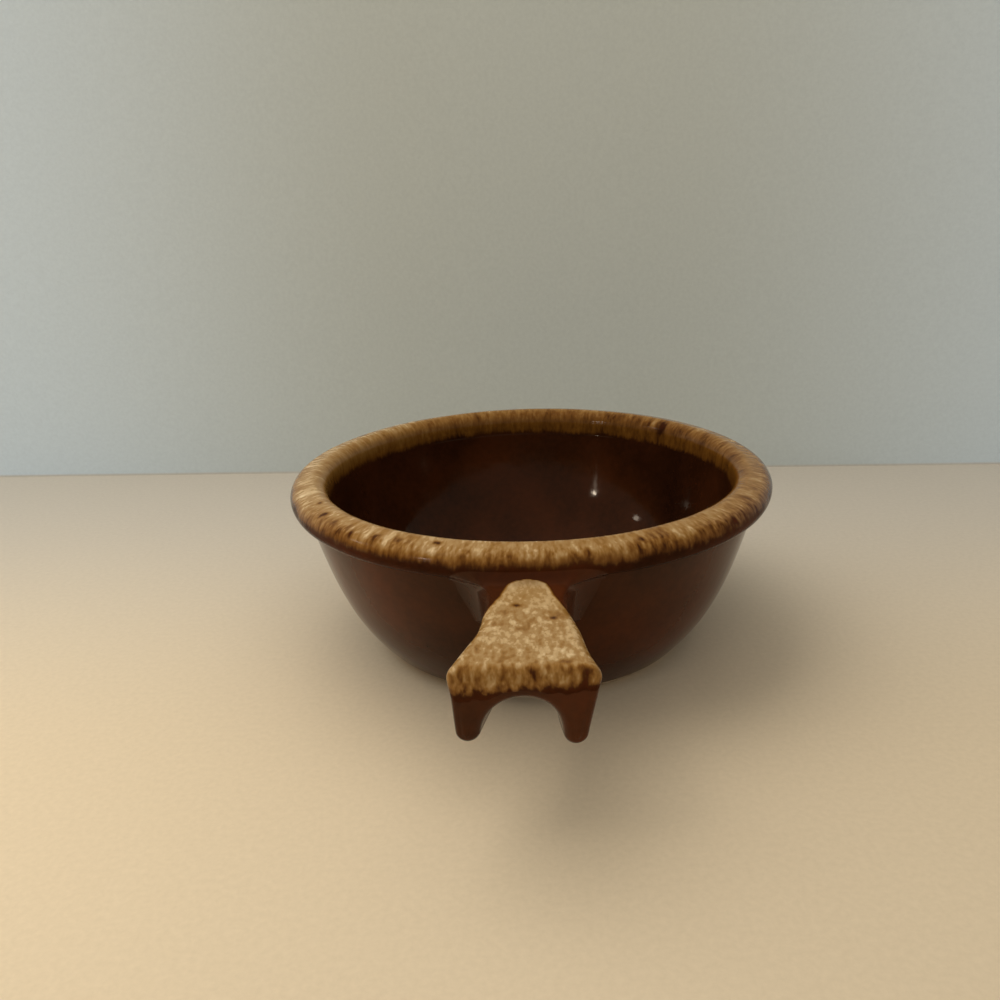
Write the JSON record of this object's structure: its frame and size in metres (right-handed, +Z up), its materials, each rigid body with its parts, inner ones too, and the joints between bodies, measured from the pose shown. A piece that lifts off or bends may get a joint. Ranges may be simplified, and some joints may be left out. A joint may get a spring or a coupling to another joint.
{
  "type": "lug soup bowl",
  "caption": "Glazed stoneware soup bowl with a thick rolled rim, a dry foot ring and a flared channel-section lug handle under the rim.",
  "frame": {"origin": "on the bowl's axis, in the plane of the foot ring's standing face", "axes": "+Z up along the bowl's axis, -Y along the handle away from the bowl, +X to the right seen from the handle's end"},
  "size_m": [0.127, 0.1635, 0.0475],
  "materials": {
    "clay": "unglazed buff stoneware, matt",
    "slip": "fired luting slip, matt",
    "brown_liner": "very dark red-brown gloss glaze",
    "brown_glaze": "chestnut brown gloss glaze",
    "drip_glaze": "mottled tan and cream drip glaze, satin gloss"
  },
  "bodies": {
    "root": {"bowl_body": "clay", "handle_body": "clay", "handle_slip": "slip", "inside_glaze": "brown_liner", "outside_glaze": "brown_glaze", "rim_glaze": "drip_glaze", "handle_glaze": "brown_glaze", "handle_top_glaze": "drip_glaze", "base_glaze": "brown_glaze"}
  },
  "joints": []
}
